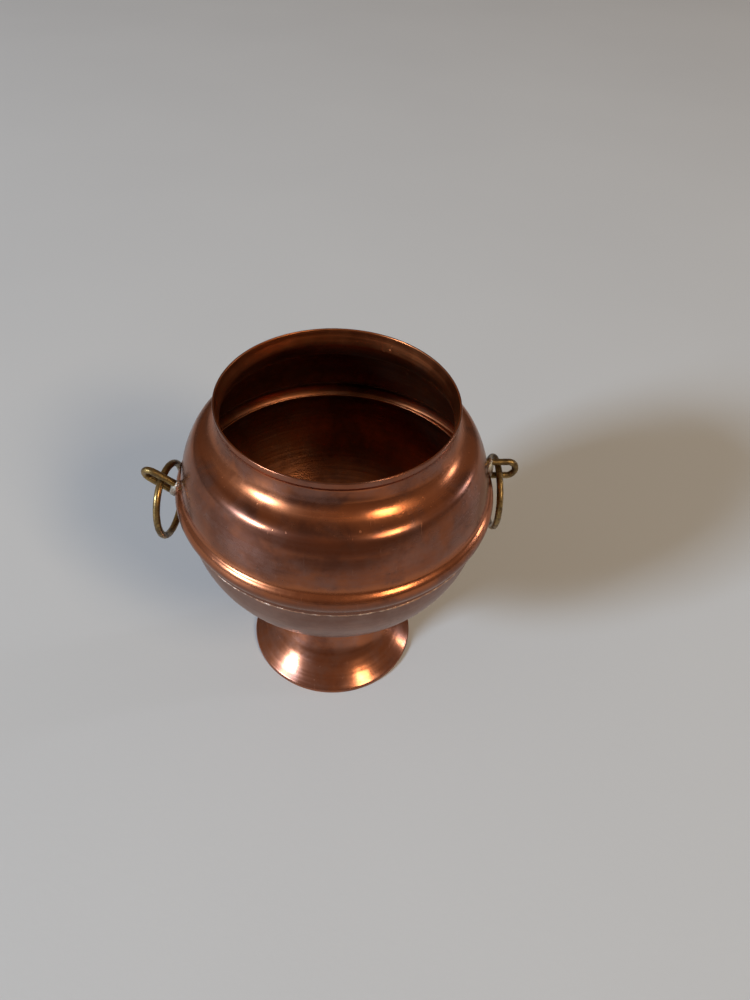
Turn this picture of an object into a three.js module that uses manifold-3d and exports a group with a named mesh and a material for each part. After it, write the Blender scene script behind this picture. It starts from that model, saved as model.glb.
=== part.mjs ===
// A miniature footed copper urn with two brass ring handles, in millimetres with +Z up.
// The origin is where the urn's axis meets the surface it stands on, and the handles stand on the X axis.
// The urn is spun from sheet: an upper shell with the shoulder, neck and rim, a lower bowl whose lip
// rises inside the shell, and a hollow trumpet foot. Soft solder joins them and holds the wire eyes.
import * as THREE from 'three';
import { mergeVertices } from 'three/addons/utils/BufferGeometryUtils.js';
import Module from 'manifold-3d';

const wasm = await Module();
wasm.setup();

// Sheet, clearances, and how far a facet may stand off the true curve of an arc
const SHEET = 0.5;
const SOLDER_GAP = 0.12;
const TURN_STEPS = 40;
const FACET_ERROR = 0.03;

// Rim and neck
const RIM_TOP_Z = 90.7;
const RIM_RADIUS = 28.8;
const RIM_CREASE_Z = 88.2;
const RIM_ROUND = 0.25;
const NECK_RADIUS = 28.0;

// Shoulder, from the crease above the belly bead. A tight knuckle turns it into the cove, whose
// hollow sweep runs up into the neck. Slopes are in degrees from upright.
const CREASE_RADIUS = 38.42;
const SHOULDER_ARC = 26.0;
const SHOULDER_START = 4.2;
const SHOULDER_END = 31.8;
const KNUCKLE_ARC = 2.8;
const COVE_START = 70.5;

// Belly bead, the hollow crease above it and the skirt below it
const BEAD_RADIUS = 40.3;
const BEAD_Z = 63.7;
const BEAD_UPPER_ARC = 3.0;
const BEAD_UPPER_END = 52;
const BEAD_LOWER_ARC = 4.2;
const SKIRT_RADIUS = 38.85;
const SKIRT_BOTTOM_Z = 59.3;

// Lower bowl
const BOWL_RADIUS = 38.15;
const BOWL_WIDEST_Z = 58.5;
const BOWL_DEPTH = 32.8;
const BOWL_STEPS = 14;
const LIP_BEND_Z = 60.5;
const LIP_TOP_RADIUS = 37.7;
const LIP_TOP_Z = 62.8;

// Foot
const FOOT_RADIUS = 24.0;
const FOOT_HEM_WIDTH = 1.0;
const FOOT_LIP_ARC = 0.9;
const FOOT_LIP_Z = 0.6;
const CONE_SLOPE = 47;
const CONE_TOP_RADIUS = 19.4;
const TRUMPET_ARC = 20.0;
const FLANGE_RADIUS = 15.4;
const FLANGE_Z = 27.5;
const FLANGE_STEPS = 5;

// Solder seams, as fillets under the skirt and round the flange
const BELLY_SEAM_DROP = 0.9;
const BELLY_SEAM_NOSE = 0.5;
const FOOT_SEAM_WIDTH = 1.7;
const FOOT_SEAM_RISE = 0.5;

// Handles
const WIRE_RADIUS = 0.9;
const RING_RADIUS = 9.5;
const RING_STEPS = 32;
const WIRE_SIDES = 10;
const EYE_HALF_WIDTH = 2.1;
const EYE_BEND_STEPS = 8;
const LEG_INSIDE = 1.5;
const LEG_HOLE_CLEARANCE = 0.3;
const SOLDER_BLOB = { along: 1.3, across: 3.4, thick: 1.75, sides: 16, rings: 10 };

// Each eye's root on the bead, then its lift above level, swing towards +Y and twist about its own
// stem, in degrees; the stem lengths to the ring's wire and to the tip; and how its ring hangs.
const HANDLES = [
  {
    name: 'left', side: -1, rootY: -0.7, rootZ: 65.1, lift: 27, swing: 20, twist: -15,
    seat: 3.9, reach: 9.35, ringTurn: 16, ringSlip: 16,
  },
  {
    name: 'right', side: 1, rootY: 0, rootZ: 65.0, lift: 0, swing: -4, twist: -8,
    seat: 2.75, reach: 8.05, ringTurn: 5, ringSlip: 6,
  },
];

const UP = new THREE.Vector3(0, 0, 1);
const radians = THREE.MathUtils.degToRad;
const point = (r, z) => new THREE.Vector2(r, z);

const copper = new THREE.MeshStandardMaterial({ color: 0x9a5a3c, roughness: 0.32, metalness: 1 });
const oldCopper = new THREE.MeshStandardMaterial({ color: 0x84503c, roughness: 0.42, metalness: 1 });
const brass = new THREE.MeshStandardMaterial({ color: 0x80602c, roughness: 0.38, metalness: 1 });
const solder = new THREE.MeshStandardMaterial({ color: 0x9c9a8c, roughness: 0.55, metalness: 0.9 });

// Points of an elliptical arc in the half plane of radius and height. Angles are in degrees from the
// outward direction, and 90 points up.
function arc(centreR, centreZ, halfR, halfZ, from, to, steps) {
  const points = [];
  for (let i = 0; i <= steps; i += 1) {
    const angle = radians(from + ((to - from) * i) / steps);
    points.push(point(centreR + halfR * Math.cos(angle), centreZ + halfZ * Math.sin(angle)));
  }
  return points;
}

// An outline that runs upwards on the outside, moved towards the inside by a distance.
function moveInside(outline, distance) {
  return outline.map((here, i) => {
    const before = outline[Math.max(i - 1, 0)];
    const after = outline[Math.min(i + 1, outline.length - 1)];
    const along = after.clone().sub(before).normalize();
    const r = here.x < SHEET ? 0 : here.x - distance * along.y;
    return point(r, here.y + distance * along.x);
  });
}

// A solid of revolution about Z from a profile that closes on itself or runs from axis to axis.
function spin(profile, steps = TURN_STEPS) {
  return new THREE.LatheGeometry(profile, steps).rotateX(Math.PI / 2);
}

// A wall of even thickness whose outside is the outline.
function sheetWall(outline) {
  const inside = moveInside(outline, SHEET).reverse();
  const profile = [...outline, ...inside];
  if (outline[0].x > 0) profile.push(outline[0]);
  return profile;
}

function toSolid(geometry) {
  const bare = geometry.clone();
  bare.deleteAttribute('normal');
  bare.deleteAttribute('uv');
  const welded = mergeVertices(bare, 1e-4);
  const mesh = new wasm.Mesh({
    numProp: 3,
    vertProperties: Float32Array.from(welded.attributes.position.array),
    triVerts: Uint32Array.from(welded.index.array),
  });
  return new wasm.Manifold(mesh);
}

function toGeometry(solid) {
  const mesh = solid.getMesh();
  const geometry = new THREE.BufferGeometry();
  geometry.setAttribute('position', new THREE.BufferAttribute(Float32Array.from(mesh.vertProperties), 3));
  geometry.setIndex(new THREE.BufferAttribute(Uint32Array.from(mesh.triVerts), 1));
  geometry.computeVertexNormals();
  return geometry;
}

// An arc that carries on from the end of an outline, from one slope off upright to another. Its
// bulge is 1 where the wall swells outwards and -1 where it is hollow.
function sweep(outline, radius, from, to, bulge) {
  const start = outline[outline.length - 1];
  const facet = 2 * Math.acos(1 - FACET_ERROR / radius);
  const steps = Math.ceil(Math.abs(radians(to - from)) / facet);
  const centreR = start.x - bulge * radius * Math.cos(radians(from));
  const centreZ = start.y - bulge * radius * Math.sin(radians(from));
  return arc(centreR, centreZ, bulge * radius, bulge * radius, from, to, steps).slice(1);
}

// Outside of the upper shell from the skirt's edge to the top of the rim.
function shellOutline() {
  const lowerCos = 1 - (BEAD_RADIUS - SKIRT_RADIUS) / BEAD_LOWER_ARC;
  const lowerAngle = -THREE.MathUtils.radToDeg(Math.acos(lowerCos));
  const beadFoot = BEAD_Z + BEAD_LOWER_ARC * Math.sin(radians(lowerAngle));
  const outline = [point(SKIRT_RADIUS, SKIRT_BOTTOM_Z), point(SKIRT_RADIUS, beadFoot)];
  outline.push(...sweep(outline, BEAD_LOWER_ARC, lowerAngle, 0, 1));
  outline.push(...sweep(outline, BEAD_UPPER_ARC, 0, BEAD_UPPER_END, 1));
  const creaseArc = hollowRadius(outline, CREASE_RADIUS, BEAD_UPPER_END, SHOULDER_START);
  outline.push(...sweep(outline, creaseArc, BEAD_UPPER_END, SHOULDER_START, -1));
  outline.push(...sweep(outline, SHOULDER_ARC, SHOULDER_START, SHOULDER_END, 1));
  outline.push(...sweep(outline, KNUCKLE_ARC, SHOULDER_END, COVE_START, 1));
  const coveArc = hollowRadius(outline, NECK_RADIUS, COVE_START, 0);
  outline.push(...sweep(outline, coveArc, COVE_START, 0, -1));
  outline.push(
    point(NECK_RADIUS, RIM_CREASE_Z),
    point(RIM_RADIUS, RIM_CREASE_Z + 2 * RIM_ROUND),
    point(RIM_RADIUS, RIM_TOP_Z - RIM_ROUND),
    point(RIM_RADIUS - RIM_ROUND, RIM_TOP_Z),
  );
  return outline;
}

// The radius of the hollow arc that takes an outline in to a given radius between two slopes.
function hollowRadius(outline, endRadius, from, to) {
  const inwards = outline[outline.length - 1].x - endRadius;
  return inwards / (Math.cos(radians(to)) - Math.cos(radians(from)));
}

// The stem of an eye leaves the bead along one direction, and its loop lies in the plane of that
// direction and a second one across it.
function eyeFrame(handle) {
  const rise = handle.rootZ - BEAD_Z;
  const rootRadius = BEAD_RADIUS - BEAD_UPPER_ARC + Math.sqrt(BEAD_UPPER_ARC ** 2 - rise ** 2);
  const rootX = handle.side * Math.sqrt(rootRadius ** 2 - handle.rootY ** 2);
  const root = new THREE.Vector3(rootX, handle.rootY, handle.rootZ);
  const lift = radians(handle.lift);
  const swing = radians(handle.swing);
  const stem = new THREE.Vector3(
    handle.side * Math.cos(lift) * Math.cos(swing),
    Math.cos(lift) * Math.sin(swing),
    Math.sin(lift),
  );
  const across = UP.clone().addScaledVector(stem, -stem.z).normalize();
  across.applyAxisAngle(stem, radians(handle.twist));
  return { root, stem, across };
}

const alongStem = (frame, distance, sideways = 0) => frame.root.clone()
  .addScaledVector(frame.stem, distance)
  .addScaledVector(frame.across, sideways);

// A bent wire as a tube that follows a path.
class WirePath extends THREE.Curve {
  constructor(points) {
    super();
    this.points = points;
  }

  getPoint(t) {
    const place = t * (this.points.length - 1);
    const before = Math.min(Math.floor(place), this.points.length - 2);
    return this.points[before].clone().lerp(this.points[before + 1], place - before);
  }

  getPointAt(t) {
    return this.getPoint(t);
  }

  getTangentAt(t) {
    const place = Math.round(t * (this.points.length - 1));
    const before = this.points[Math.max(place - 1, 0)];
    const after = this.points[Math.min(place + 1, this.points.length - 1)];
    return after.clone().sub(before).normalize();
  }
}

function wireTube(points, radius) {
  const section = new THREE.Shape();
  section.absarc(0, 0, radius, 0, Math.PI * 2);
  return new THREE.ExtrudeGeometry(section, {
    steps: points.length - 1,
    curveSegments: WIRE_SIDES / 2,
    extrudePath: new WirePath(points),
  });
}

// One length of wire: in through the wall, round the loop and back in beside itself.
function eyeWire(handle) {
  const frame = eyeFrame(handle);
  const bendCentre = handle.reach - WIRE_RADIUS - EYE_HALF_WIDTH;
  const points = [alongStem(frame, -LEG_INSIDE, EYE_HALF_WIDTH)];
  for (let i = 0; i <= EYE_BEND_STEPS; i += 1) {
    const angle = Math.PI / 2 - (Math.PI * i) / EYE_BEND_STEPS;
    const forward = bendCentre + EYE_HALF_WIDTH * Math.cos(angle);
    points.push(alongStem(frame, forward, EYE_HALF_WIDTH * Math.sin(angle)));
  }
  points.push(alongStem(frame, -LEG_INSIDE, -EYE_HALF_WIDTH));
  return wireTube(points, WIRE_RADIUS);
}

// A straight round bar along one leg of an eye, from inside the wall to past the solder.
function legBar(frame, sideways, radius) {
  const start = alongStem(frame, -2 * LEG_INSIDE, sideways);
  const end = alongStem(frame, 2 * LEG_INSIDE, sideways);
  return toSolid(wireTube([start, start.clone().lerp(end, 0.5), end], radius));
}

// The shell with the two holes of each eye drilled through its bead.
function drilledShell() {
  let shell = toSolid(spin(sheetWall(shellOutline())));
  for (const handle of HANDLES) {
    const frame = eyeFrame(handle);
    for (const sideways of [-EYE_HALF_WIDTH, EYE_HALF_WIDTH]) {
      shell = shell.subtract(legBar(frame, sideways, WIRE_RADIUS + LEG_HOLE_CLEARANCE));
    }
  }
  return toGeometry(shell);
}

// The pool of solder round the root of an eye, outside the wall and clear of the two legs.
function eyeSolder(handle) {
  const frame = eyeFrame(handle);
  const blob = new THREE.SphereGeometry(1, SOLDER_BLOB.sides, SOLDER_BLOB.rings);
  const thickness = new THREE.Vector3().crossVectors(frame.stem, frame.across);
  blob.applyMatrix4(new THREE.Matrix4().makeBasis(
    frame.stem.clone().multiplyScalar(SOLDER_BLOB.along),
    frame.across.clone().multiplyScalar(SOLDER_BLOB.across),
    thickness.multiplyScalar(SOLDER_BLOB.thick),
  ));
  blob.translate(frame.root.x, frame.root.y, frame.root.z);
  const bead = shellOutline().filter((here) => here.y < BEAD_Z + 2 * BEAD_UPPER_ARC);
  const outside = moveInside(bead, -SOLDER_GAP);
  const core = [point(0, outside[0].y), ...outside, point(0, outside[outside.length - 1].y)];
  let pool = toSolid(blob).subtract(toSolid(spin(core)));
  for (const sideways of [-EYE_HALF_WIDTH, EYE_HALF_WIDTH]) {
    pool = pool.subtract(legBar(frame, sideways, WIRE_RADIUS + SOLDER_GAP));
  }
  return toGeometry(pool);
}

function lowerBowl() {
  const wall = arc(0, BOWL_WIDEST_Z, BOWL_RADIUS, BOWL_DEPTH, -90, 0, BOWL_STEPS);
  wall[0].x = 0;
  const lip = [point(BOWL_RADIUS, LIP_BEND_Z), point(LIP_TOP_RADIUS, LIP_TOP_Z)];
  return spin(sheetWall([...wall, ...lip]));
}

// A trumpet: a rounded lip to stand on, a cone, a hollow sweep up to the waist and a flange that
// spreads under the bowl.
function trumpetFoot() {
  const lip = [point(FOOT_RADIUS, FOOT_LIP_Z)];
  lip.push(...sweep(lip, FOOT_LIP_ARC, 0, CONE_SLOPE, 1));
  const lipTop = lip[lip.length - 1];
  const coneRise = (lipTop.x - CONE_TOP_RADIUS) / Math.tan(radians(CONE_SLOPE));
  const outside = [...lip, point(CONE_TOP_RADIUS, lipTop.y + coneRise)];
  outside.push(...sweep(outside, TRUMPET_ARC, CONE_SLOPE, 0, -1));
  const waist = outside[outside.length - 1];
  const spread = FLANGE_RADIUS - waist.x;
  const flange = arc(FLANGE_RADIUS, waist.y, spread, FLANGE_Z - waist.y, 180, 90, FLANGE_STEPS);
  outside.push(...flange.slice(1));
  const inside = moveInside(outside, SHEET).reverse().slice(0, -lip.length);
  const hemInside = FOOT_RADIUS - FOOT_HEM_WIDTH;
  const standing = point(FOOT_RADIUS - RIM_ROUND, 0);
  return spin([
    standing,
    ...outside,
    ...inside,
    point(hemInside, lipTop.y - SHEET),
    point(hemInside, 0),
    standing,
  ]);
}

// The fillet of solder under the skirt's edge.
function bellySeam() {
  const inner = BOWL_RADIUS + SOLDER_GAP;
  const top = SKIRT_BOTTOM_Z - SOLDER_GAP;
  return spin([
    point(inner, top - BELLY_SEAM_DROP),
    point(SKIRT_RADIUS, top - BELLY_SEAM_NOSE),
    point(SKIRT_RADIUS, top),
    point(inner, top),
    point(inner, top - BELLY_SEAM_DROP),
  ]);
}

// The fillet of solder in the corner between the foot's flange and the bowl.
function footSeam() {
  const underBowl = (r) => (
    BOWL_WIDEST_Z - BOWL_DEPTH * Math.sqrt(1 - (r / BOWL_RADIUS) ** 2) - 2 * SOLDER_GAP
  );
  const inner = FLANGE_RADIUS + SOLDER_GAP;
  const outer = inner + FOOT_SEAM_WIDTH;
  return spin([
    point(inner, FLANGE_Z),
    point((inner + outer) / 2, FLANGE_Z + FOOT_SEAM_RISE),
    point(outer, underBowl(outer)),
    point(inner, underBowl(inner)),
    point(inner, FLANGE_Z),
  ]);
}

// A closed wire ring that hangs in a vertical plane, with its wire through the eye.
function handleRing(handle) {
  const profile = arc(RING_RADIUS, 0, WIRE_RADIUS, WIRE_RADIUS, 0, 360, WIRE_SIDES);
  profile[WIRE_SIDES].copy(profile[0]);
  const ring = new THREE.Mesh(spin(profile, RING_STEPS), brass);
  const turn = radians(handle.ringTurn);
  const slip = radians(handle.ringSlip);
  const level = new THREE.Vector3(Math.sin(turn), Math.cos(turn), 0);
  ring.position.copy(alongStem(eyeFrame(handle), handle.seat))
    .addScaledVector(level, RING_RADIUS * Math.sin(slip))
    .addScaledVector(UP, -RING_RADIUS * Math.cos(slip));
  ring.rotation.set(0, Math.PI / 2, -turn, 'ZYX');
  ring.name = `${handle.name}_ring`;
  return ring;
}

function named(name, geometry, material) {
  const mesh = new THREE.Mesh(geometry, material);
  mesh.name = name;
  return mesh;
}

const urn = new THREE.Group();
urn.add(named('upper_shell', drilledShell(), copper));
urn.add(named('lower_bowl', lowerBowl(), oldCopper));
urn.add(named('foot', trumpetFoot(), copper));
urn.add(named('belly_solder_seam', bellySeam(), solder));
urn.add(named('foot_solder_seam', footSeam(), solder));
for (const handle of HANDLES) {
  urn.add(named(`${handle.name}_eye`, eyeWire(handle), brass));
  urn.add(named(`${handle.name}_eye_solder`, eyeSolder(handle), solder));
  urn.add(handleRing(handle));
}

export default urn;
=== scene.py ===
"""A miniature footed copper urn with two brass ring handles, on a pale floor.

Lengths in the urn's constants are millimetres and are turned into metres by MM. The camera's, the
floor's and the lights' are metres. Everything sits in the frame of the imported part: +Z up along
the urn's axis, the handles on the X axis.
"""
import math

import bmesh
import bpy
import numpy as np
from mathutils import Matrix, Vector


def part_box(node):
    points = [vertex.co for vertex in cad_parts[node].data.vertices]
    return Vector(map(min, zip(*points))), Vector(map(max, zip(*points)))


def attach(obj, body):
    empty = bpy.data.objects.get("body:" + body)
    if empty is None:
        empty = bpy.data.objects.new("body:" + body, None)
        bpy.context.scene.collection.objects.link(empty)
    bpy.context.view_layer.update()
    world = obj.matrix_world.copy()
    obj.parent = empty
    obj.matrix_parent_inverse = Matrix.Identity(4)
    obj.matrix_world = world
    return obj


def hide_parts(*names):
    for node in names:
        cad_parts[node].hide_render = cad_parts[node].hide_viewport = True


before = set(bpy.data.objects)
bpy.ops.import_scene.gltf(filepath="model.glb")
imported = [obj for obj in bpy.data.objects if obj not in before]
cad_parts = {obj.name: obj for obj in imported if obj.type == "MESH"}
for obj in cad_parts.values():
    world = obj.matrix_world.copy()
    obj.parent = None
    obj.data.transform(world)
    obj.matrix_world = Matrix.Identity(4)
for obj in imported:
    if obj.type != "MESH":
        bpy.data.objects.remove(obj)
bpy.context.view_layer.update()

MM = 0.001

# Sheet metal
SHEET = 0.5
TURN_STEPS = 288
ARC_STEP = 3.0
RIM_TOP_Z = 90.7
RIM_RADIUS = 28.8
RIM_CREASE_Z = 88.2
NECK_RADIUS = 28.0
RIM_STEP = (-0.15, 0.6)  # where the step out to the rim starts and ends, off RIM_CREASE_Z
RIM_STEP_ROUND = 0.55
RIM_EDGE_SHARE = 0.54  # of the sheet's thickness, which the rounded top edge takes up
NECK_EASE = (RIM_CREASE_Z - 2.2, RIM_TOP_Z + 0.3)
CREASE_RADIUS = 38.42
SHOULDER_ARC = 26.0
SHOULDER_START = 4.2
SHOULDER_END = 30.2
KNUCKLE_ARC = 5.0
COVE_START = 67.2
BEAD_RADIUS = 40.3
BEAD_Z = 63.7
BEAD_UPPER_ARC = 3.0
BEAD_UPPER_END = 52
BEAD_LOWER_ARC = 4.2
SKIRT_RADIUS = 38.85
SKIRT_BOTTOM_Z = 59.3
BOWL_RADIUS = 38.15
BOWL_WIDEST_Z = 58.5
BOWL_DEPTH = 32.8
LIP_BEND_Z = 60.5
LIP_TOP_RADIUS = 37.7
LIP_TOP_Z = 62.8
LIP_ROUND = 0.8
FOOT_RADIUS = 24.0
FOOT_HEM_WIDTH = 1.0
FOOT_HEM_ROUND = 0.35
FOOT_LIP_ARC = 0.9
FOOT_LIP_Z = 0.6
FLARE_START = 53
FLARE_END = 42
FLARE_ARC = 37.6
TRUMPET_ARC = 20.0
FLANGE_RADIUS = 15.4
FLANGE_Z = 27.5
POINT_SPACING = 0.8
SHELL_DENTS = 0.06  # how far hand work leaves the sheet inside its true round
FOOT_DENTS = 0.05
DENT_WAVES = 9
DENT_SLANT = 0.12
DENT_CORE = 8  # inside this radius the dents fade out towards the axis
FULL_TURN = 2 * math.pi
ANY_PHASE = (0, 6.28)

# Wire, and how each eye leaves the bead and its ring hangs (seat and reach are along the stem)
WIRE_RADIUS = 0.9
RING_RADIUS = 9.5
RING_STEPS = 128
RING_OVAL, RING_LUMP, RING_WARP = 0.05, 0.03, 0.06  # how far a ring is out of round and flat
WIRE_SIDES = 28
WIRE_WAVES = 5
# Share of the wire's radius, and how far from round it is, so that it stays inside the CAD wire
EYE_WIRE, EYE_UNEVEN = 0.968, 0.012
RING_WIRE, RING_UNEVEN = 0.975, 0.015
EYE_HALF_WIDTH = 2.1
LEG_INSIDE = 1.5
LEG_STEPS, LOOP_STEPS = 20, 33
HANDLES = {
    "left": dict(side=-1, root_y=-0.7, root_z=65.1, lift=27, swing=20, twist=-15,
                 seat=3.9, reach=9.35, turn=16, slip=16, ring_seed=41, pool_seed=51),
    "right": dict(side=1, root_y=0.0, root_z=65.0, lift=0, swing=-4, twist=-8,
                  seat=2.75, reach=8.05, turn=5, slip=6, ring_seed=43, pool_seed=52),
}
EYE_SEED = 31

# Solder: half sizes of the pools at the wires' roots, and the seams' sections
POOL_ALONG, POOL_ACROSS, POOL_THICK = 1.3, 3.3, 1.7
POOL_CLEARANCE = 0.03
POOL_TOP = BEAD_Z + 9  # no pool reaches this far up the shell
POOL_LUMPS, POOL_RIPPLES = 14, 12
LUMP_RISE, LUMP_WIDTH = (-0.09, 0.10), (0.02, 0.25)
RIPPLE_RISE, RIPPLE_PITCH = 0.012, (4, 11)
SEAM_STEPS, SEAM_SIDES = 720, 14
# Waves along a seam: how many go round the urn, and how high each is
SEAM_SWELLS = ((3, 0.10), (7, 0.10), (17, 0.12), (41, 0.14), (83, 0.14), (151, 0.12))
SEAM_SAGS = ((23, 0.06), (61, 0.05))
BELLY_SEAM_HALF = 0.30
BELLY_SEAM_OUT = 0.05
BELLY_SEAM_DROP = 0.32
FOOT_SEAM_HEIGHT, FOOT_SEAM_WIDTH, FOOT_SEAM_TILT = 0.42, 0.75, 18

# Camera, as the photograph's viewing angle
CAMERA_PLACE = (-0.016300, -0.137614, 0.197962)
CAMERA_RIGHT = (0.98912, -0.13701, 0.05349)
CAMERA_UP = (0.06068, 0.71144, 0.70013)
CAMERA_LENS = 27.04
CAMERA_SENSOR = 36
CAMERA_NEAR, CAMERA_FAR = 0.01, 20


# ---------------------------------------------------------------- profiles

def arc(centre_r, centre_z, half_r, half_z, start, end):
    """Points of an elliptical arc in radius and height. Angles are off the outward direction."""
    steps = max(2, math.ceil(abs(end - start) / ARC_STEP))
    angles = np.radians(np.linspace(start, end, steps + 1))
    return np.c_[centre_r + half_r * np.cos(angles), centre_z + half_z * np.sin(angles)]


def sweep(outline, radius, start, end, bulge):
    """Adds an arc that carries on from the outline's end, from one slope to another."""
    r, z = outline[-1][-1]
    centre_r = r - bulge * radius * math.cos(math.radians(start))
    centre_z = z - bulge * radius * math.sin(math.radians(start))
    outline.append(arc(centre_r, centre_z, bulge * radius, bulge * radius, start, end)[1:])


def hollow_radius(outline, end_radius, start, end):
    """The radius of a hollow arc that brings the outline in to end_radius."""
    inwards = outline[-1][-1][0] - end_radius
    return inwards / (math.cos(math.radians(end)) - math.cos(math.radians(start)))


def refined(points, spacing):
    """The same line with no gap between points longer than spacing."""
    out = [points[0]]
    for a, b in zip(points[:-1], points[1:]):
        n = max(1, math.ceil(np.hypot(*(b - a)) / spacing))
        out += [a + (b - a) * (i + 1) / n for i in range(n)]
    return np.array(out)


def rounded(points, radius, steps=5):
    """A line with its corners rounded off."""
    points = np.asarray(points, float)
    out = [points[0]]
    for a, b, c in zip(points[:-2], points[1:-1], points[2:]):
        before, after = np.hypot(*(b - a)), np.hypot(*(c - b))
        cut = min(radius, before / 2, after / 2)
        start, end = b + (a - b) * cut / before, b + (c - b) * cut / after
        for t in np.linspace(0, 1, steps + 1):
            out.append((1 - t) ** 2 * start + 2 * t * (1 - t) * b + t * t * end)
    return np.array(out + [points[-1]])


def offset(outline, distance):
    """A line that runs upwards on the outside, moved towards the inside."""
    tangent = np.gradient(outline, axis=0)
    tangent /= np.hypot(*tangent.T)[:, None]
    return outline + distance * np.c_[-tangent[:, 1], tangent[:, 0]]


def edge_round(outside_end, inside_end, along, steps=6):
    """The rounded edge of the sheet, from its outside to its inside."""
    middle = (outside_end + inside_end) / 2
    half = (outside_end - inside_end) / 2
    reach = np.hypot(*half) * along / np.hypot(*along)
    angles = np.linspace(0, math.pi, steps + 1)[1:-1]
    return np.array([middle + half * math.cos(a) + reach * math.sin(a) for a in angles])


def shell_outline():
    """Outside of the upper shell, from the skirt's edge up to the rim."""
    lower_cos = 1 - (BEAD_RADIUS - SKIRT_RADIUS) / BEAD_LOWER_ARC
    lower_angle = -math.degrees(math.acos(lower_cos))
    bead_foot = BEAD_Z + BEAD_LOWER_ARC * math.sin(math.radians(lower_angle))
    outline = [np.array([[SKIRT_RADIUS, SKIRT_BOTTOM_Z], [SKIRT_RADIUS, bead_foot]])]
    sweep(outline, BEAD_LOWER_ARC, lower_angle, 0, 1)
    sweep(outline, BEAD_UPPER_ARC, 0, BEAD_UPPER_END, 1)
    crease_arc = hollow_radius(outline, CREASE_RADIUS, BEAD_UPPER_END, SHOULDER_START)
    sweep(outline, crease_arc, BEAD_UPPER_END, SHOULDER_START, -1)
    sweep(outline, SHOULDER_ARC, SHOULDER_START, SHOULDER_END, 1)
    sweep(outline, KNUCKLE_ARC, SHOULDER_END, COVE_START, 1)
    cove_arc = hollow_radius(outline, NECK_RADIUS, COVE_START, 0)
    sweep(outline, cove_arc, COVE_START, 0, -1)
    step_from, step_to = RIM_STEP
    rim = [outline[-1][-1], [NECK_RADIUS, RIM_CREASE_Z + step_from],
           [RIM_RADIUS, RIM_CREASE_Z + step_to], [RIM_RADIUS, RIM_TOP_Z - RIM_EDGE_SHARE * SHEET]]
    outline.append(rounded(rim, RIM_STEP_ROUND)[1:])
    return np.vstack(outline)


def wall(outline, eased=None):
    """Closed profile of a sheet wall. Returns it with the number of points on its outside.

    eased holds the heights between which the inside opens gently instead of in a crease.
    """
    outside = refined(outline, POINT_SPACING)
    inside = offset(outside, SHEET)[::-1]
    if eased:
        share = np.clip((inside[:, 1] - eased[0]) / (eased[1] - eased[0]), 0, 1)
        share = share * share * (3 - 2 * share)
        neck = NECK_RADIUS - SHEET
        above = inside[:, 1] > eased[0]
        inside[above, 0] = neck + (inside[0, 0] - neck) * share[above]
    if outline[0][0] < SHEET:
        inside[-1, 0] = 0
    top = edge_round(outside[-1], inside[0], outside[-1] - outside[-2])
    profile = [outside, top, inside]
    if outline[0][0] > SHEET:
        profile.append(edge_round(inside[-1], outside[0], outside[0] - outside[1]))
    return np.vstack(profile), len(outside) + len(top) // 2


def bowl_outline():
    """Outside of the lower bowl, from the middle of its bottom up to its lip inside the bead."""
    curve = arc(0, BOWL_WIDEST_Z, BOWL_RADIUS, BOWL_DEPTH, -90, 0)
    curve[0, 0] = 0
    lip_top = [LIP_TOP_RADIUS, LIP_TOP_Z - SHEET / 2]
    lip = rounded([curve[-1], [BOWL_RADIUS, LIP_BEND_Z], lip_top], LIP_ROUND)
    return np.vstack([curve, lip[1:]])


def foot_profile():
    """Closed profile of the foot, from where it stands up the outside and down the inside."""
    outline = [np.array([[FOOT_RADIUS, FOOT_LIP_Z]])]
    sweep(outline, FOOT_LIP_ARC, 0, FLARE_START, 1)
    lip_top = outline[-1][-1]
    lip_points = sum(len(part) for part in outline)
    sweep(outline, FLARE_ARC, FLARE_START, FLARE_END, -1)
    sweep(outline, TRUMPET_ARC, FLARE_END, 0, -1)
    waist = outline[-1][-1]
    spread = FLANGE_RADIUS - waist[0]
    outline.append(arc(FLANGE_RADIUS, waist[1], spread, FLANGE_Z - waist[1], 180, 90)[1:])
    outside = np.vstack(outline)
    flare = refined(outside[lip_points - 1:], POINT_SPACING)
    outside = np.vstack([outside[:lip_points], flare[1:]])
    inside = offset(outside, SHEET)[::-1][:-lip_points]
    edge = edge_round(outside[-1], inside[0], outside[-1] - outside[-2])
    hem_inside = FOOT_RADIUS - FOOT_HEM_WIDTH
    hem = rounded([inside[-1], [hem_inside, lip_top[1] - SHEET], [hem_inside, 0],
                   [FOOT_RADIUS, 0], outside[0]], FOOT_HEM_ROUND)
    return np.vstack([outside, edge, inside, hem[1:-1]]), len(outside)


# ---------------------------------------------------------------- meshes

def unevenness(points, seed, depth):
    """How far hand work leaves each point inside the true surface, from nothing to depth."""
    random = np.random.default_rng(seed)
    angle = np.arctan2(points[:, 1], points[:, 0])
    total = np.zeros(len(points))
    for k in range(2, 2 + DENT_WAVES):
        slant = random.uniform(-DENT_SLANT, DENT_SLANT)
        total += np.sin(k * angle + slant * points[:, 2] + random.uniform(*ANY_PHASE)) / k
    total = (total - total.min()) / max(np.ptp(total), 1e-9)
    return depth * total


def show(name, data):
    """A new object in the scene."""
    thing = bpy.data.objects.new(name, data)
    bpy.context.scene.collection.objects.link(thing)
    return thing


def mesh_object(name, points, faces):
    """A smooth-shaded object from points in millimetres."""
    mesh = bpy.data.meshes.new(name)
    mesh.from_pydata([tuple(p) for p in np.asarray(points) * MM], [], faces)
    mesh.validate()
    mesh.update()
    mesh.polygons.foreach_set("use_smooth", [True] * len(mesh.polygons))
    return show(name, mesh)


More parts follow.
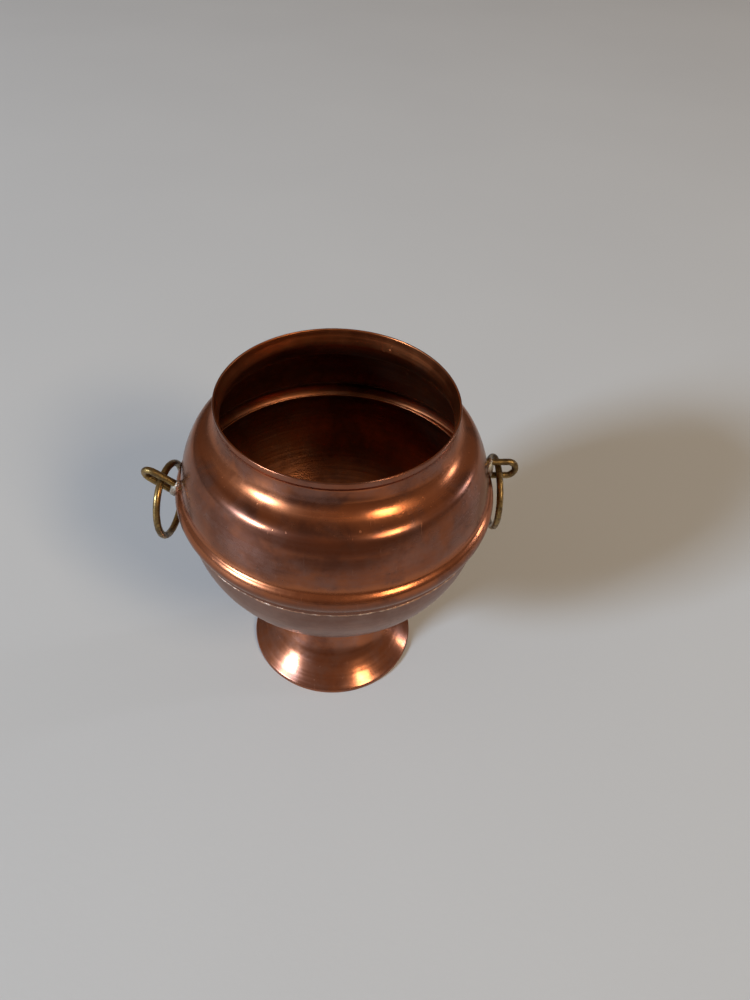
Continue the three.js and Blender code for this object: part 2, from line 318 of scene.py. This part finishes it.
def lathe(name, profile, seed, depth, inside_from):
    """A closed profile turned about Z. Faces from inside_from on get the second material."""
    n = len(profile)
    angles = np.linspace(0, FULL_TURN, TURN_STEPS, endpoint=False)
    points = np.stack([
        np.outer(np.cos(angles), profile[:, 0]),
        np.outer(np.sin(angles), profile[:, 0]),
        np.outer(np.ones(TURN_STEPS), profile[:, 1]),
    ], -1).reshape(-1, 3)
    radius = np.hypot(points[:, 0], points[:, 1])
    shrink = 1 - unevenness(points, seed, depth) / np.maximum(radius, DENT_CORE)
    points[:, :2] *= shrink[:, None]
    axial = [i for i in range(n) if profile[i, 0] < 1e-9]
    closed = not axial
    faces, inner = [], []
    for i in range(TURN_STEPS):
        j = (i + 1) % TURN_STEPS
        for k in range(n if closed else n - 1):
            m = (k + 1) % n
            corner = [i * n + k, j * n + k, j * n + m, i * n + m]
            if k in axial:
                corner = [k, j * n + m, i * n + m]
            elif m in axial:
                corner = [i * n + k, j * n + k, m]
            faces.append(corner)
            inner.append(k >= inside_from)
    if axial:
        used = np.zeros(len(points), bool)
        used[np.unique(np.concatenate([np.array(f) for f in faces]))] = True
        number = np.cumsum(used) - 1
        faces = [[int(number[v]) for v in f] for f in faces]
        points = points[used]
    thing = mesh_object(name, points, faces)
    thing.data.polygons.foreach_set("material_index", [int(is_inner) for is_inner in inner])
    return thing


def tube(name, path, radius, seed, uneven, closed=False):
    """A slightly uneven round wire along a path. Its ends are flat unless it closes on itself."""
    path = np.asarray(path, float)
    count = len(path)
    if closed:
        tangent = np.roll(path, -1, 0) - np.roll(path, 1, 0)
    else:
        tangent = np.gradient(path, axis=0)
    tangent /= np.linalg.norm(tangent, axis=1)[:, None]
    side = np.cross(tangent[0], [0.3, 0.2, 1.0])  # any direction that no wire starts along
    side /= np.linalg.norm(side)
    sideways = []
    for t in tangent:
        side = side - t * (side @ t)
        side /= np.linalg.norm(side)
        sideways.append(side)
    sideways = np.array(sideways)
    if closed:
        drift = sideways[-1] - tangent[0] * (sideways[-1] @ tangent[0])
        drift /= np.linalg.norm(drift)
        up = np.cross(tangent[0], sideways[0])
        twist = math.atan2(drift @ up, drift @ sideways[0])
        for i in range(count):
            a = -twist * i / count
            s, u = sideways[i], np.cross(tangent[i], sideways[i])
            sideways[i] = s * math.cos(a) + u * math.sin(a)
    over = np.cross(tangent, sideways)
    random = np.random.default_rng(seed)
    phases = random.uniform(*ANY_PHASE, (WIRE_WAVES, 2))
    around = np.linspace(0, FULL_TURN, WIRE_SIDES, endpoint=False)
    rings = []
    for i in range(count):
        along = FULL_TURN * i / count
        waves = sum(math.sin((k + 1) * along * 2 + phases[k, 0]) for k in range(WIRE_WAVES))
        swell = 1 + uneven * waves / WIRE_WAVES
        flat = 1 + uneven * np.cos(2 * around + phases[0, 1] + along)
        r = radius * swell * flat
        rings.append(path[i] + r[:, None] * (np.cos(around)[:, None] * sideways[i]
                                             + np.sin(around)[:, None] * over[i]))
    points = np.vstack(rings)
    faces = []
    for i in range(count if closed else count - 1):
        j = (i + 1) % count
        for k in range(WIRE_SIDES):
            m = (k + 1) % WIRE_SIDES
            faces.append([i * WIRE_SIDES + k, i * WIRE_SIDES + m,
                          j * WIRE_SIDES + m, j * WIRE_SIDES + k])
    if not closed:
        faces.append(list(range(WIRE_SIDES))[::-1])
        faces.append([(count - 1) * WIRE_SIDES + k for k in range(WIRE_SIDES)])
    return mesh_object(name, points, faces)


# ---------------------------------------------------------------- handles

def unit(v):
    return v / np.linalg.norm(v)


def eye_frame(h):
    """Root on the bead, the direction of the stem and the direction across the loop."""
    rise = h["root_z"] - BEAD_Z
    root_radius = BEAD_RADIUS - BEAD_UPPER_ARC + math.sqrt(BEAD_UPPER_ARC ** 2 - rise ** 2)
    root_x = h["side"] * math.sqrt(root_radius ** 2 - h["root_y"] ** 2)
    root = np.array([root_x, h["root_y"], h["root_z"]])
    lift, swing, twist = (math.radians(h[k]) for k in ("lift", "swing", "twist"))
    stem = np.array([h["side"] * math.cos(lift) * math.cos(swing),
                     math.cos(lift) * math.sin(swing), math.sin(lift)])
    across = unit(np.array([0, 0, 1.0]) - stem * stem[2])
    across = across * math.cos(twist) + np.cross(stem, across) * math.sin(twist)
    return root, stem, across


def eye_path(h):
    """Middle line of an eye: a leg out from the wall, half a turn and a leg back."""
    root, stem, across = eye_frame(h)
    bend = h["reach"] - WIRE_RADIUS - EYE_HALF_WIDTH
    out = np.linspace(-LEG_INSIDE, bend, LEG_STEPS)[:-1]
    turn = np.radians(np.linspace(90, -90, LOOP_STEPS))
    legs = [(x, EYE_HALF_WIDTH) for x in out]
    loop = [(bend + EYE_HALF_WIDTH * math.cos(a), EYE_HALF_WIDTH * math.sin(a))
            for a in turn]
    back = [(x, -EYE_HALF_WIDTH) for x in out[::-1]]
    return np.array([root + x * stem + y * across for x, y in legs + loop + back])


def ring_path(h):
    """The ring's middle line, hung on its eye, very slightly out of round."""
    root, stem, _ = eye_frame(h)
    turn, slip = math.radians(h["turn"]), math.radians(h["slip"])
    level = np.array([math.sin(turn), math.cos(turn), 0])
    up = np.array([0, 0, 1.0])
    hang = math.sin(slip) * level - math.cos(slip) * up
    centre = root + h["seat"] * stem + RING_RADIUS * hang
    normal = np.cross(level, up)
    random = np.random.default_rng(h["ring_seed"])
    a, b, c = random.uniform(*ANY_PHASE, 3)
    points = []
    for t in np.linspace(0, FULL_TURN, RING_STEPS, endpoint=False):
        r = (RING_RADIUS - RING_OVAL - RING_OVAL * math.sin(2 * t + a)
             - RING_LUMP * math.sin(3 * t + b))
        points.append(centre + r * (math.cos(t) * level + math.sin(t) * up)
                      + RING_WARP * math.sin(2 * t + c) * normal)
    return np.array(points)


def solder_pool(name, h):
    """A lumpy pool of solder round an eye's root, lying on the bead."""
    root, stem, side = eye_frame(h)
    bm = bmesh.new()
    bmesh.ops.create_icosphere(bm, subdivisions=5, radius=1)
    points = np.array([v.co[:] for v in bm.verts])
    faces = [[v.index for v in f.verts] for f in bm.faces]
    bm.free()
    random = np.random.default_rng(h["pool_seed"])
    lumps = np.ones(len(points))
    for _ in range(POOL_LUMPS):
        d = unit(random.normal(size=3))
        rise = random.uniform(*LUMP_RISE)
        lumps += rise * np.exp(-((1 - points @ d) / random.uniform(*LUMP_WIDTH)))
    for _ in range(POOL_RIPPLES):
        d = random.normal(size=3) * random.uniform(*RIPPLE_PITCH)
        lumps += RIPPLE_RISE * np.sin(points @ d + random.uniform(*ANY_PHASE))
    points = points * lumps[:, None]
    normal = np.cross(stem, side)
    points = (root + points[:, :1] * POOL_ALONG * stem + points[:, 1:2] * POOL_ACROSS * side
              + points[:, 2:] * POOL_THICK * normal)
    outline = shell_outline()
    outline = outline[(outline[:, 1] > SKIRT_BOTTOM_Z) & (outline[:, 1] < POOL_TOP)]
    keep = np.interp(points[:, 2], outline[:, 1], outline[:, 0]) - POOL_CLEARANCE
    radius = np.hypot(points[:, 0], points[:, 1])
    points[:, :2] *= (np.maximum(radius, keep) / radius)[:, None]
    return mesh_object(name, points, faces)


def seam_bead(name, path_r, path_z, height, width, seed, tilt):
    """A thin uneven line of solder round the urn: a flat oval section that swells and thins."""
    random = np.random.default_rng(seed)
    angles = np.linspace(0, FULL_TURN, SEAM_STEPS, endpoint=False)
    swell = np.ones(SEAM_STEPS)
    for k, share in SEAM_SWELLS:
        swell += share * np.sin(k * angles + random.uniform(*ANY_PHASE))
    (slow, deep), (quick, shallow) = SEAM_SAGS
    sag = (deep * np.sin(slow * angles + random.uniform(*ANY_PHASE))
           + shallow * np.sin(quick * angles + 1))
    around = np.linspace(0, FULL_TURN, SEAM_SIDES, endpoint=False)
    tilt = math.radians(tilt)
    points = []
    for a, s, d in zip(angles, swell, sag):
        u = np.cos(around) * width * s
        v = np.sin(around) * height * s + d
        r = path_r + u * math.cos(tilt) - v * math.sin(tilt)
        z = path_z + u * math.sin(tilt) + v * math.cos(tilt)
        points.append(np.c_[r * math.cos(a), r * math.sin(a), z])
    points = np.vstack(points)
    faces = []
    for i in range(SEAM_STEPS):
        j = (i + 1) % SEAM_STEPS
        for k in range(SEAM_SIDES):
            m = (k + 1) % SEAM_SIDES
            faces.append([i * SEAM_SIDES + k, j * SEAM_SIDES + k,
                          j * SEAM_SIDES + m, i * SEAM_SIDES + m])
    return mesh_object(name, points, faces)


# ---------------------------------------------------------------- materials

SPIN_STRETCH = 0.03  # how little a spin mark changes along its way round
SCRATCH_EDGE = 0.05


class Graph:
    """Short names for the shader nodes that the materials are wired from."""

    def __init__(self, name):
        self.material = bpy.data.materials.new(name)
        self.material.use_nodes = True
        self.tree = self.material.node_tree
        self.shader = self.tree.nodes["Principled BSDF"]
        place = self.add("ShaderNodeTexCoord").outputs["Object"]
        self.place = self.vector("SCALE", place, scale=1 / MM)
        parts = self.add("ShaderNodeSeparateXYZ")
        self.join(self.place, parts.inputs[0])
        self.x, self.y, self.z = parts.outputs
        flat = self.combine(self.x, self.y, 0)
        self.radius = self.vector("LENGTH", flat)

    def add(self, kind, **settings):
        node = self.tree.nodes.new(kind)
        for key, value in settings.items():
            setattr(node, key, value)
        return node

    def join(self, value, socket):
        """Links a node's output to a socket, or sets the socket to a number or colour."""
        if isinstance(value, bpy.types.NodeSocket):
            self.tree.links.new(value, socket)
        elif isinstance(value, tuple) and len(value) == 3 and len(socket.default_value) == 4:
            socket.default_value = (*value, 1)
        else:
            socket.default_value = value

    def math(self, operation, a, b=0.0, clamp=False):
        node = self.add("ShaderNodeMath", operation=operation, use_clamp=clamp)
        for value, socket in zip((a, b), node.inputs):
            self.join(value, socket)
        return node.outputs[0]

    def vector(self, operation, a, b=None, scale=None):
        node = self.add("ShaderNodeVectorMath", operation=operation)
        self.join(a, node.inputs[0])
        if b is not None:
            self.join(b, node.inputs[1])
        if scale is not None:
            self.join(scale, node.inputs["Scale"])
        return node.outputs["Value" if operation == "LENGTH" else "Vector"]

    def combine(self, x, y, z):
        node = self.add("ShaderNodeCombineXYZ")
        for value, socket in zip((x, y, z), node.inputs):
            self.join(value, socket)
        return node.outputs[0]

    def noise(self, size, detail, roughness, place=None, w=None, distortion=0.0):
        """Noise whose features are about size millimetres across."""
        node = self.add("ShaderNodeTexNoise", noise_dimensions="4D" if w is not None else "3D")
        self.join(place if place is not None else self.place, node.inputs["Vector"])
        if w is not None:
            self.join(w, node.inputs["W"])
        for key, value in (("Scale", 1 / size), ("Detail", detail), ("Roughness", roughness),
                           ("Distortion", distortion)):
            node.inputs[key].default_value = value
        return node.outputs[0]

    def cells(self, size, place):
        """Distance to the nearest of scattered points about size millimetres apart."""
        node = self.add("ShaderNodeTexVoronoi", voronoi_dimensions="3D")
        self.join(place, node.inputs["Vector"])
        node.inputs["Scale"].default_value = 1 / size
        return node.outputs["Distance"]

    def ramp(self, value, low, high, to_low=0.0, to_high=1.0, smooth=True):
        """value from low to high turned into to_low to to_high, held at the ends."""
        curve = "SMOOTHSTEP" if smooth else "LINEAR"
        node = self.add("ShaderNodeMapRange", interpolation_type=curve, clamp=True)
        for v, socket in zip((value, low, high, to_low, to_high), node.inputs):
            self.join(v, socket)
        return node.outputs[0]

    def mix(self, share, a, b):
        node = self.add("ShaderNodeMix", data_type="RGBA")
        self.join(share, node.inputs[0])
        self.join(a, node.inputs[6])
        self.join(b, node.inputs[7])
        return node.outputs[2]

    def spin_marks(self, size):
        """Fine lines round the urn, as a spinning tool and polishing cloth leave them."""
        stretched = [self.math("MULTIPLY", way, SPIN_STRETCH) for way in (self.x, self.y)]
        place = self.vector("SCALE", self.combine(*stretched, self.radius), scale=1 / size)
        return self.noise(1.0, 1.0, 0.5, place, self.math("MULTIPLY", self.z, 1 / size))

    def scratches(self, size, along, turn, rarity):
        """Sparse thin straight marks."""
        node = self.add("ShaderNodeMapping", vector_type="POINT")
        self.join(self.place, node.inputs["Vector"])
        node.inputs["Rotation"].default_value = turn
        node.inputs["Scale"].default_value = (1 / size, 1 / along, 1 / along)
        lines = self.noise(1.0, 1.0, 0.5, node.outputs[0])
        return self.ramp(lines, rarity, rarity + SCRATCH_EDGE)

    def finish(self, colour, roughness, metallic, height, depth, strength=1.0):
        """Wires up the shader, with a bump depth millimetres deep, and returns the material."""
        self.join(colour, self.shader.inputs["Base Color"])
        self.join(roughness, self.shader.inputs["Roughness"])
        self.join(metallic, self.shader.inputs["Metallic"])
        bump = self.add("ShaderNodeBump")
        bump.inputs["Strength"].default_value = strength
        bump.inputs["Distance"].default_value = depth * MM
        self.join(height, bump.inputs["Height"])
        self.join(bump.outputs[0], self.shader.inputs["Normal"])
        return self.material


# The bright rings' colour: rubbed copper, with painted sheen and light
RUBBED_COPPER_AND_SHEEN = (0.42, 0.125, 0.040)
# Painted shade for the skirt under the bead
PAINTED_SKIRT_SHADE = (0.16, 0.056, 0.030)
PIT_BROWN = (0.09, 0.035, 0.02)
SCRATCH_PINK = (0.7, 0.42, 0.30)
METAL_EDGE = (0.90, 0.73, 0.65)
LACQUER_ROUGHNESS = 0.28


def copper(name, clean, tarnish, grey, orange, gloss, tarnish_from, tarnish_to, seed=0.0,
           spin_depth=0.1, pits=1.0, lacquer=0.3, edge=METAL_EDGE, rubbed_and_sheen_bands=(), painted_shade_below=None):
    """Worn spun copper: mottled tarnish, a greyish bloom, pits, scratches and spin marks.

    rubbed_and_sheen_bands holds the heights (mm), half widths and strengths of the rings made
    brighter, partly rubbed copper and partly painted sheen and light, and painted_shade_below
    the heights between which painted shade darkens the skirt downwards, under the bead.
    """
    g = Graph(name)
    place = g.vector("ADD", g.place, (seed, seed * 2, -seed))
    broad = g.noise(14, 4, 0.6, place, distortion=0.4)
    fine = g.noise(2.2, 5, 0.68, place)
    spin = g.spin_marks(0.75)
    spin_broad = g.spin_marks(2.5)

    # Tarnish, orange clouds and grey bloom
    dirt = g.math("ADD", g.math("MULTIPLY", broad, 0.62), g.math("MULTIPLY", fine, 0.26))
    dirt = g.math("ADD", dirt, g.math("MULTIPLY", spin_broad, 0.16))
    dirt = g.ramp(dirt, tarnish_from, tarnish_to)
    bloom = g.ramp(g.noise(6, 4, 0.6, g.vector("ADD", place, (31, 7, 12))), 0.42, 0.68)
    colour = g.mix(dirt, clean, tarnish)
    cloud = g.noise(17, 3, 0.55, g.vector("ADD", place, (5, 60, 23)))
    colour = g.mix(g.ramp(cloud, 0.47, 0.60, 0, 0.6), colour, orange)
    colour = g.mix(g.math("MULTIPLY", bloom, 0.55), colour, grey)
    colour = g.mix(g.ramp(spin, 0.35, 0.7, 0.0, 0.18), colour, grey)

    # Pits, flecks and scratches
    spots = g.ramp(g.cells(3.4, place), 0.05, 0.11, 1.0, 0.0)
    spots = g.math("MULTIPLY", spots, g.ramp(g.noise(9, 2, 0.5, place), 0.5, 0.6))
    flecks = g.ramp(g.cells(1.3, place), 0.08, 0.16, 1.0, 0.0)
    flecks = g.math("MULTIPLY", flecks, g.ramp(g.noise(5, 2, 0.5, place), 0.55, 0.66))
    marks = g.math("MAXIMUM", spots, g.math("MULTIPLY", flecks, 0.6))
    marks = g.math("MULTIPLY", marks, pits)
    colour = g.mix(g.math("MULTIPLY", marks, 0.75), colour, PIT_BROWN)
    lines = g.math("MAXIMUM", g.scratches(0.16, 7, (0.3, 0.5, 0.7), 0.76),
                   g.scratches(0.13, 5, (1.1, -0.4, 2.1), 0.77))
    colour = g.mix(g.math("MULTIPLY", lines, 0.12), colour, SCRATCH_PINK)

    # Painted shade on the skirt below one height, under the bead; round others brighter rings,
    # partly rubbed copper and partly painted sheen and light
    if painted_shade_below:
        ragged = g.math("ADD", g.z, g.ramp(fine, 0.3, 0.7, -0.5, 0.5))
        colour = g.mix(g.math("MULTIPLY", g.ramp(ragged, *painted_shade_below), 0.8), colour, PAINTED_SKIRT_SHADE)
    rub_and_sheen_share = 0.0
    # Each ring is partly rubbed copper and partly painted sheen; the one at the rim crease is
    # painted light over the crease's shade
    for height, half_width, strength in rubbed_and_sheen_bands:
        away = g.math("ABSOLUTE", g.math("SUBTRACT", g.z, height))
        wander = g.ramp(broad, 0.35, 0.65, -0.35 * half_width, 0.35 * half_width)
        away = g.math("ADD", away, wander)
        near = g.ramp(away, half_width, 0.2 * half_width, 0, strength)
        rub_and_sheen_share = g.math("MAXIMUM", rub_and_sheen_share, near)
    if rubbed_and_sheen_bands:
        colour = g.mix(rub_and_sheen_share, colour, RUBBED_COPPER_AND_SHEEN)

    rough = g.ramp(dirt, 0, 1, gloss, gloss + 0.07, smooth=False)
    rough = g.math("ADD", rough, g.ramp(spin, 0.3, 0.7, -0.02, 0.03))
    rough = g.math("ADD", rough, g.math("MULTIPLY", bloom, 0.04))
    worn = g.math("MAXIMUM", marks, g.math("MULTIPLY", lines, 0.4))
    rough = g.math("ADD", rough, g.math("MULTIPLY", worn, 0.2), clamp=True)

    height = g.math("MULTIPLY", spin, spin_depth)
    height = g.math("ADD", height, g.math("MULTIPLY", fine, 0.14))
    height = g.math("ADD", height, g.math("MULTIPLY", g.noise(5.5, 2, 0.5, place), 0.8))
    height = g.math("SUBTRACT", height, g.math("MULTIPLY", marks, 0.5))
    height = g.math("SUBTRACT", height, g.math("MULTIPLY", lines, 0.1))

    g.shader.inputs["Specular Tint"].default_value = (*edge, 1)
    g.shader.inputs["Coat Weight"].default_value = lacquer
    g.shader.inputs["Coat Roughness"].default_value = LACQUER_ROUGHNESS
    return g.finish(colour, rough, g.ramp(marks, 0, 1, 1.0, 0.55), height, depth=0.03)


def brass(name):
    """Aged drawn brass wire: gold where it rubs, brown where it doesn't."""
    g = Graph(name)
    broad = g.noise(3.2, 4, 0.65)
    fine = g.noise(0.7, 4, 0.6)
    dirt = g.math("ADD", g.math("MULTIPLY", broad, 0.7), g.math("MULTIPLY", fine, 0.3))
    dirt = g.ramp(dirt, 0.40, 0.60)
    colour = g.mix(dirt, (0.33, 0.215, 0.078), (0.11, 0.067, 0.026))
    stain = g.ramp(g.noise(1.4, 3, 0.5), 0.56, 0.68, 0, 0.6)
    colour = g.mix(stain, colour, (0.07, 0.042, 0.022))
    rough = g.ramp(dirt, 0, 1, 0.26, 0.46, smooth=False)
    height = g.math("ADD", g.math("MULTIPLY", fine, 0.5), g.math("MULTIPLY", broad, 0.6))
    return g.finish(colour, rough, g.ramp(dirt, 0, 1, 1.0, 0.85), height, depth=0.05)


def soft_solder(name, bright, dull, copper_share):
    """Dull grey solder with a rough skin, stained by the copper and a little flux."""
    g = Graph(name)
    broad = g.noise(1.8, 4, 0.6)
    fine = g.noise(0.35, 4, 0.6)
    colour = g.mix(g.ramp(broad, 0.4, 0.62), bright, dull)
    coppery = g.noise(2.6, 3, 0.6, g.vector("ADD", g.place, (9, 4, 17)))
    colour = g.mix(g.ramp(coppery, 0.44, 0.56, 0, copper_share), colour, (0.45, 0.24, 0.15))
    flux = g.noise(1.1, 3, 0.6, g.vector("ADD", g.place, (2, 40, 7)))
    colour = g.mix(g.ramp(flux, 0.62, 0.7, 0, 0.8), colour, (0.10, 0.085, 0.06))
    rough = g.ramp(fine, 0.3, 0.7, 0.3, 0.6)
    height = g.math("ADD", g.math("MULTIPLY", fine, 0.8), g.math("MULTIPLY", broad, 0.5))
    return g.finish(colour, rough, 0.9, height, depth=0.12)


# Where someone standing by the table shades it: centre, and where the shade starts and is full
SHADE_CENTRE = (-40, -620, 0)
SHADE_REACH = (450, 250)
SHADE_SHARE = 0.8
SHADE_COLOUR = (0.10, 0.075, 0.06)


def floor_material():
    """Pale smooth painted top with the faintest unevenness."""
    g = Graph("pale_floor")
    broad = g.noise(160, 3, 0.5)
    fine = g.noise(1.6, 4, 0.6)
    colour = g.mix(broad, (0.548, 0.560, 0.562), (0.595, 0.608, 0.606))
    ahead = g.vector("LENGTH", g.vector("SUBTRACT", g.place, SHADE_CENTRE))
    colour = g.mix(g.ramp(ahead, *SHADE_REACH, 0, SHADE_SHARE), colour, SHADE_COLOUR)
    rough = g.ramp(fine, 0.3, 0.7, 0.44, 0.54)
    g.shader.inputs["Specular IOR Level"].default_value = 0.42
    return g.finish(colour, rough, 0.0, fine, depth=0.03, strength=0.6)


# ---------------------------------------------------------------- build

# Outside: the cove and bead-crease rings are rubbed copper with painted reflection, the
# rim-crease ring is painted light over the crease's shade, and painted shade darkens the skirt
outside_copper = copper(
    "worn_copper", clean=(0.25, 0.073, 0.029), tarnish=(0.15, 0.044, 0.019),
    grey=(0.22, 0.105, 0.078), orange=(0.33, 0.095, 0.031), gloss=0.18,
    tarnish_from=0.44, tarnish_to=0.58, spin_depth=0.1, lacquer=0.38,
    rubbed_and_sheen_bands=((82.4, 3.0, 0.85), (66.3, 2.4, 0.75), (88.3, 0.9, 0.95)), painted_shade_below=(64.6, 62.6))
# Inside: the bright ring round the neck is partly rubbed copper and partly painted light
inside_copper = copper(
    "tarnished_copper_inside", clean=(0.46, 0.155, 0.055), tarnish=(0.20, 0.068, 0.028),
    grey=(0.23, 0.11, 0.07), orange=(0.42, 0.135, 0.042), gloss=0.29,
    tarnish_from=0.40, tarnish_to=0.60, seed=50.0, spin_depth=1.3, lacquer=0.12,
    rubbed_and_sheen_bands=((88.6, 4.0, 0.9),))
bowl_copper = copper(
    "dull_copper", clean=(0.29, 0.145, 0.10), tarnish=(0.20, 0.098, 0.07),
    grey=(0.27, 0.17, 0.138), orange=(0.27, 0.125, 0.08), gloss=0.29,
    tarnish_from=0.40, tarnish_to=0.62, seed=20.0, lacquer=0.12, edge=(0.93, 0.86, 0.83))
foot_copper = copper(
    "bright_copper_foot", clean=(0.38, 0.125, 0.054), tarnish=(0.22, 0.068, 0.033),
    grey=(0.30, 0.15, 0.115), orange=(0.43, 0.13, 0.042), gloss=0.165,
    tarnish_from=0.42, tarnish_to=0.62, seed=80.0, spin_depth=0.12, pits=0.5)
wire_brass = brass("aged_brass")
root_solder = soft_solder("root_solder", (0.56, 0.54, 0.46), (0.27, 0.245, 0.19), 0.4)
seam_solder = soft_solder("seam_solder", (0.56, 0.40, 0.31), (0.34, 0.21, 0.15), 0.9)


def place(thing, body, slot, materials, *nodes):
    """Gives a finished piece its materials, its body and the CAD nodes it stands for."""
    for material in materials:
        thing.data.materials.append(material)
    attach(thing, body)
    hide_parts(*nodes)


profile, outside_count = wall(shell_outline(), eased=NECK_EASE)
shell = lathe("shell", profile, seed=11, depth=SHELL_DENTS, inside_from=outside_count)
place(shell, "pot", "copper", [outside_copper, inside_copper], "upper_shell")
profile, outside_count = wall(bowl_outline())
bowl = lathe("bowl", profile, seed=12, depth=SHELL_DENTS, inside_from=outside_count)
place(bowl, "pot", "dark_copper", [bowl_copper, inside_copper], "lower_bowl")
profile, outside_count = foot_profile()
foot = lathe("trumpet_foot", profile, seed=13, depth=FOOT_DENTS, inside_from=outside_count)
place(foot, "pot", "copper", [foot_copper, inside_copper], "foot")

belly_seam = seam_bead("belly_seam", (SKIRT_RADIUS + BOWL_RADIUS) / 2 + BELLY_SEAM_OUT,
                       SKIRT_BOTTOM_Z - BELLY_SEAM_DROP, BELLY_SEAM_HALF, BELLY_SEAM_HALF,
                       seed=21, tilt=0)
place(belly_seam, "pot", "solder", [seam_solder], "belly_solder_seam")
flange_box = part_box("foot_solder_seam")
foot_seam = seam_bead("foot_seam", FLANGE_RADIUS + FOOT_SEAM_WIDTH,
                      (flange_box[0].z + flange_box[1].z) / 2 / MM, FOOT_SEAM_HEIGHT,
                      FOOT_SEAM_WIDTH, seed=22, tilt=FOOT_SEAM_TILT)
place(foot_seam, "pot", "solder", [seam_solder], "foot_solder_seam")

for side, h in HANDLES.items():
    eye = tube(f"{side}_wire_eye", eye_path(h), EYE_WIRE * WIRE_RADIUS, EYE_SEED, EYE_UNEVEN)
    place(eye, "pot", "brass_wire", [wire_brass], f"{side}_eye")
    ring = tube(f"{side}_wire_ring", ring_path(h), RING_WIRE * WIRE_RADIUS, h["ring_seed"],
                RING_UNEVEN, closed=True)
    place(ring, f"{side}_ring", "brass_wire", [wire_brass], f"{side}_ring")
for side, h in HANDLES.items():
    pool = solder_pool(f"{side}_root_solder", h)
    place(pool, "pot", "solder", [root_solder], f"{side}_eye_solder")

# ---------------------------------------------------------------- floor, light and camera

FLOOR_HALF = 3.0  # metres
LIGHT_DISTANCE = 3.0  # metres from AIM
AIM = (0, 0, 0.05)
# Name, azimuth, elevation, width and height (m), power and colour
LIGHTS = [
    ("window", -157, 26, 0.58, 0.48, 94, (0.66, 0.81, 1.0)),
    ("warm_window", -54, 36.5, 0.70, 0.48, 25, (1.0, 0.81, 0.57)),
    ("warm_wall", -49, 45, 0.60, 0.34, 11, (1.0, 0.79, 0.54)),
    ("side_window", 9, 14, 0.20, 0.40, 8, (0.86, 0.90, 1.0)),
]
# The room, a dim ceiling and wide soft glows on three sides: azimuth, elevation, how far the
# glow reaches in degrees, and colour
ROOM_GLOWS = [
    (0, 90, 180, (0.225, 0.175, 0.137)),
    (-95, 15, 55, (0.09, 0.06, 0.035)),
    (-175, 10, 60, (0.14, 0.15, 0.155)),
    (0, 10, 60, (0.09, 0.075, 0.06)),
]


def direction(azimuth, elevation):
    a, e = math.radians(azimuth), math.radians(elevation)
    return Vector((math.cos(a) * math.cos(e), math.sin(a) * math.cos(e), math.sin(e)))


def build_floor():
    bm = bmesh.new()
    bmesh.ops.create_grid(bm, x_segments=2, y_segments=2, size=FLOOR_HALF)
    mesh = bpy.data.meshes.new("floor")
    bm.to_mesh(mesh)
    bm.free()
    mesh.materials.append(floor_material())
    floor = show("floor", mesh)


def area_light(name, azimuth, elevation, width, height, power, colour):
    """A soft rectangular light that faces the urn from a direction."""
    light = bpy.data.lights.new(name, "AREA")
    light.shape = "RECTANGLE"
    light.size, light.size_y = width, height
    light.energy = power
    light.color = colour
    lamp = show(name, light)
    towards = direction(azimuth, elevation)
    lamp.location = towards * LIGHT_DISTANCE + Vector(AIM)
    lamp.rotation_mode = "QUATERNION"
    lamp.rotation_quaternion = towards.to_track_quat("Z", "Y")


def build_room():
    """World light that is the sum of the room's glows, each fading out from its direction."""
    world = bpy.data.worlds.new("room")
    world.use_nodes = True
    bpy.context.scene.world = world
    nodes, links = world.node_tree.nodes, world.node_tree.links
    sky = nodes.new("ShaderNodeTexCoord").outputs["Generated"]
    room = None
    for azimuth, elevation, reach, colour in ROOM_GLOWS:
        aim = nodes.new("ShaderNodeVectorMath")
        aim.operation = "DOT_PRODUCT"
        links.new(sky, aim.inputs[0])
        aim.inputs[1].default_value = direction(azimuth, elevation)
        near = nodes.new("ShaderNodeMapRange")
        near.interpolation_type = "SMOOTHSTEP"
        links.new(aim.outputs["Value"], near.inputs["Value"])
        near.inputs["From Min"].default_value = math.cos(math.radians(reach))
        near.inputs["From Max"].default_value = 1.0
        glow = nodes.new("ShaderNodeMix")
        glow.data_type = "RGBA"
        links.new(near.outputs[0], glow.inputs[0])
        glow.inputs[6].default_value = (0, 0, 0, 1)
        glow.inputs[7].default_value = (*colour, 1)
        if room is None:
            room = glow.outputs[2]
            continue
        both = nodes.new("ShaderNodeVectorMath")
        both.operation = "ADD"
        links.new(room, both.inputs[0])
        links.new(glow.outputs[2], both.inputs[1])
        room = both.outputs[0]
    background = nodes["Background"]
    links.new(room, background.inputs["Color"])
    background.inputs["Strength"].default_value = 1.0


def build_camera():
    data = bpy.data.cameras.new("camera")
    data.lens = CAMERA_LENS
    data.sensor_width = CAMERA_SENSOR
    data.clip_start, data.clip_end = CAMERA_NEAR, CAMERA_FAR
    camera = show("camera", data)
    right, up = Vector(CAMERA_RIGHT).normalized(), Vector(CAMERA_UP).normalized()
    back = right.cross(up).normalized()
    up = back.cross(right)
    turn = Matrix((right, up, back)).transposed().to_4x4()
    camera.matrix_world = Matrix.Translation(CAMERA_PLACE) @ turn
    bpy.context.scene.camera = camera


build_floor()
for light in LIGHTS:
    area_light(*light)
build_room()
build_camera()
bpy.context.scene.view_settings.view_transform = "Standard"
